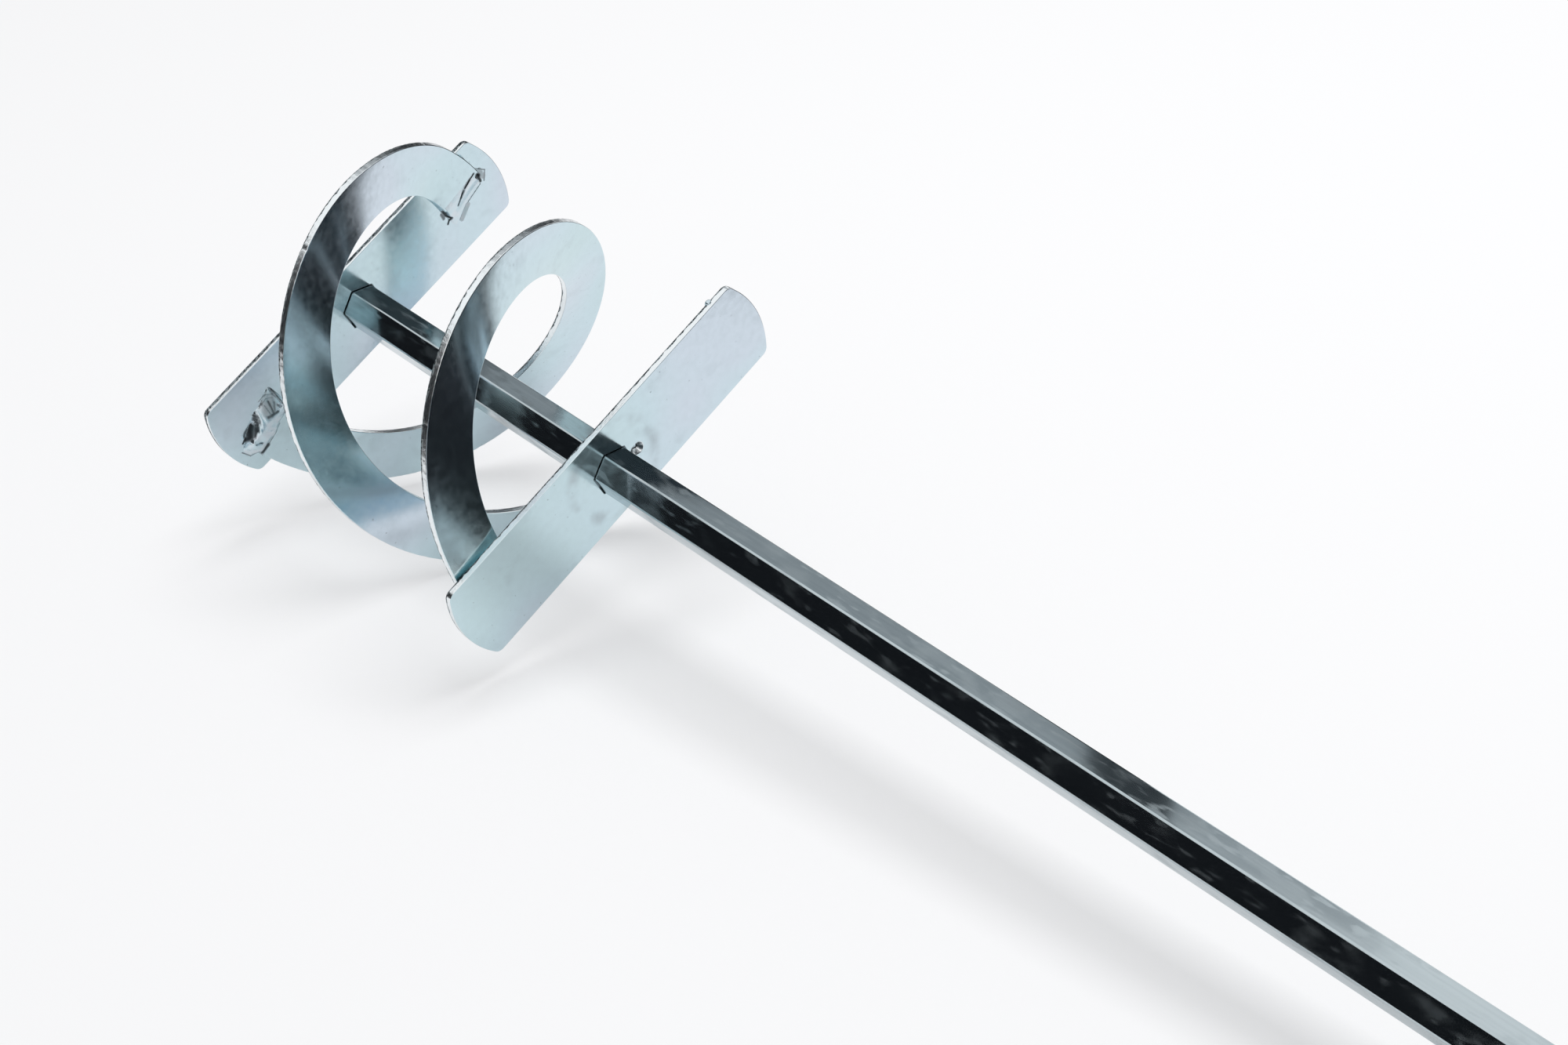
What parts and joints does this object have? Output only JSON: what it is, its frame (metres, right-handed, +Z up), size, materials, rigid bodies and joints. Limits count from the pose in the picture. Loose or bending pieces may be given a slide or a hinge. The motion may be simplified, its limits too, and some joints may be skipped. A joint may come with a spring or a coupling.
{
  "type": "mortar mixing paddle",
  "caption": "Mixing paddle with a hexagonal rod, flat crossbars and helical flights welded between them, for stirring mortar with a drill.",
  "frame": {"origin": "middle of the base of the whole paddle's box, on the floor that it lies on", "axes": "+Z up from the floor, +X along the rod's shadow on the floor towards the drive end, +Y to the left of it; the rod slopes down about 5 degrees towards +X"},
  "size_m": [0.5986, 0.1122, 0.112],
  "materials": {
    "plated_rod": "drawn hexagonal steel, zinc plated, mottled grey",
    "plated_strip": "cold rolled steel strip, zinc plated and blue passivated",
    "plated_flight": "drawn out steel strip, zinc plated and blue passivated",
    "plated_weld": "gas shielded arc weld, zinc plated over"
  },
  "bodies": {
    "root": {"hex_rod": "plated_rod", "front_crossbar": "plated_strip", "end_crossbar": "plated_strip", "flight_a": "plated_flight", "flight_b": "plated_flight", "front_rod_weld": "plated_weld", "end_rod_weld": "plated_weld", "flight_a_end_weld": "plated_weld", "flight_b_end_weld": "plated_weld", "flight_a_front_weld": "plated_weld", "flight_b_front_weld": "plated_weld"}
  },
  "joints": []
}
